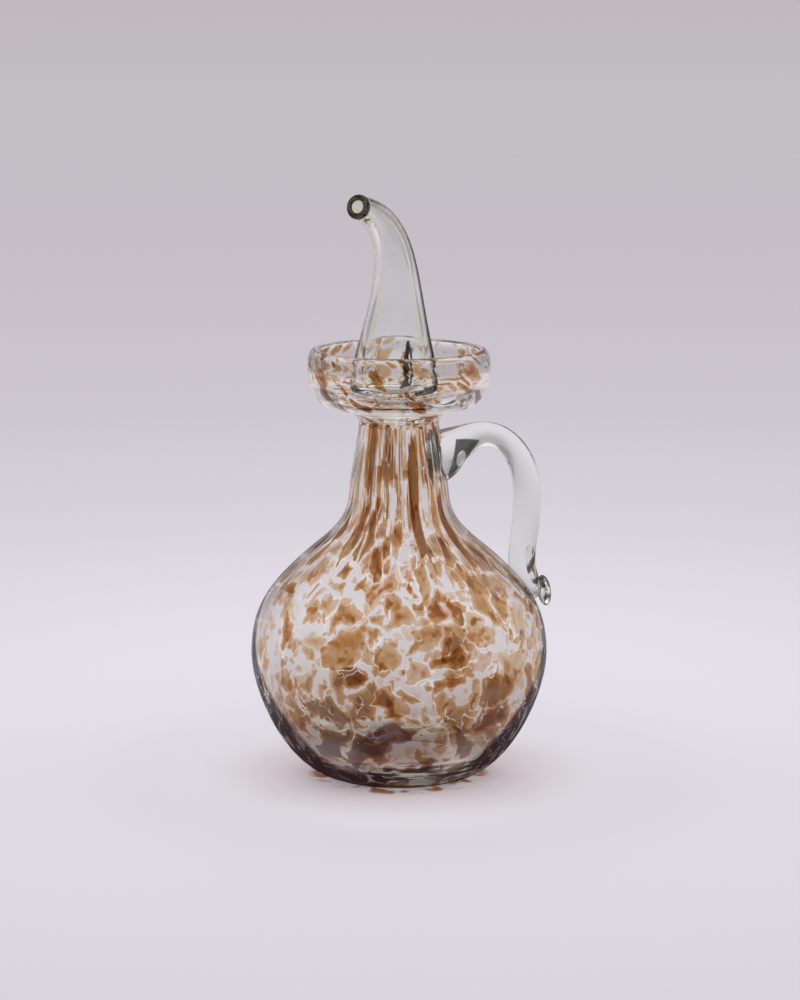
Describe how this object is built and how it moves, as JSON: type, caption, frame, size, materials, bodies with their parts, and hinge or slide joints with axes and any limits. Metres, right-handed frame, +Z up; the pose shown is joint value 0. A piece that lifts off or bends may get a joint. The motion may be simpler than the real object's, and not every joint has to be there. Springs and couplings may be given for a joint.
{
  "type": "oil bottle",
  "caption": "Hand-blown flecked glass oil bottle with a drip cup round its mouth, a clear rod handle and a loose horn-shaped pourer.",
  "frame": {"origin": "middle of the flat underside, on the surface that the bottle stands on", "axes": "+Z up along the bottle's axis, +X towards the side that carries the handle, -Y towards the side that the pourer's mouth leans to"},
  "size_m": [0.1212, 0.1188, 0.2351],
  "materials": {
    "flecked_glass": "clear blown glass over amber-brown chips, glossy",
    "handle_glass": "clear solid glass, fire polished",
    "spout_glass": "clear hollow glass, fire polished"
  },
  "bodies": {
    "root": {"bottle": "flecked_glass", "handle": "handle_glass", "spout": "spout_glass"}
  },
  "joints": []
}
